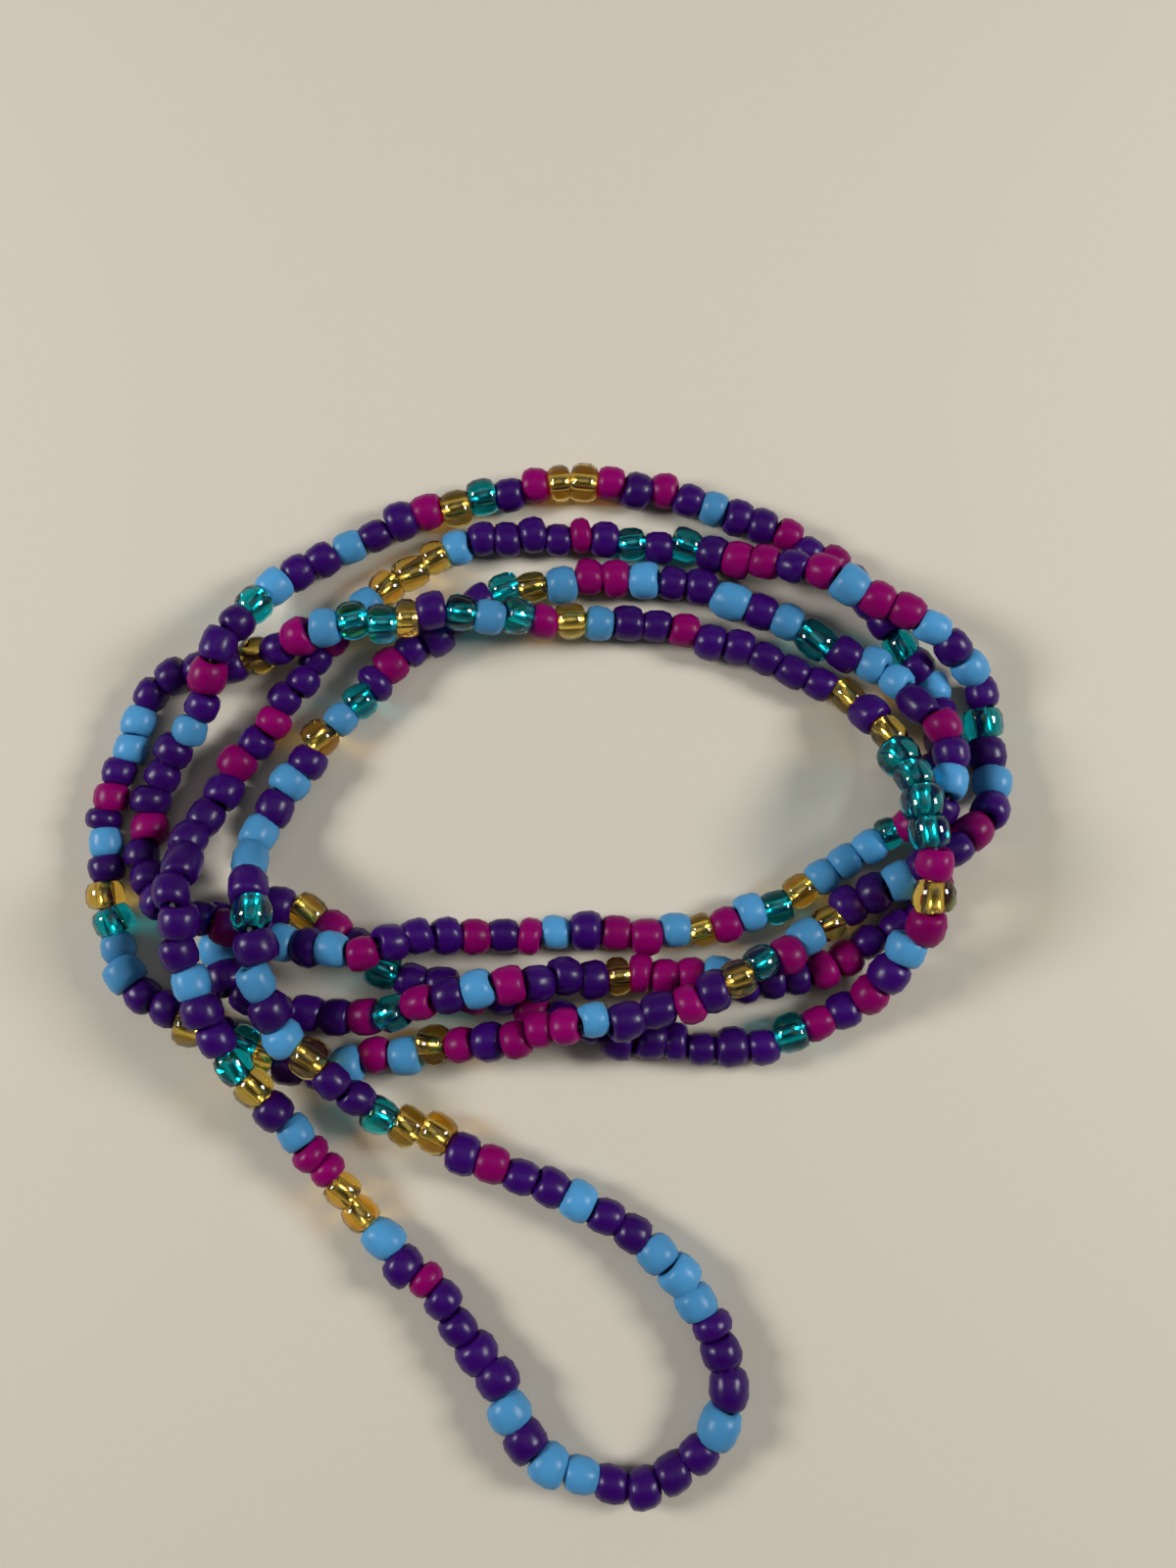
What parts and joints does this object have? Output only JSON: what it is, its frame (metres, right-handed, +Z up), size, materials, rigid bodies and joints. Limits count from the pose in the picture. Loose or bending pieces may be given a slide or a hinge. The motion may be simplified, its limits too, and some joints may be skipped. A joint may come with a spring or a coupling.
{
  "type": "waist beads",
  "caption": "Long closed string of small glass seed beads, lying loosely coiled with one lobe pulled out, worn round the waist.",
  "frame": {"origin": "on the flat surface that the string lies on, at the centre of the string's outline seen from above", "axes": "+Z up from the surface, +X to the picture's right, +Y to the picture's top, away from the lobe"},
  "size_m": [0.102, 0.1122, 0.0128],
  "materials": {
    "purple_glass": "opaque glossy glass",
    "magenta_glass": "opaque glossy glass",
    "sky_blue_glass": "opaque glossy glass",
    "teal_glass": "clear tinted glass with a bright lined hole",
    "gold_glass": "clear tinted glass with a bright lined hole",
    "bright_lining": "bright metallic lining inside clear beads",
    "thread": "fine dark nylon thread"
  },
  "bodies": {
    "root": {"bead_string": "purple_glass"}
  },
  "joints": []
}
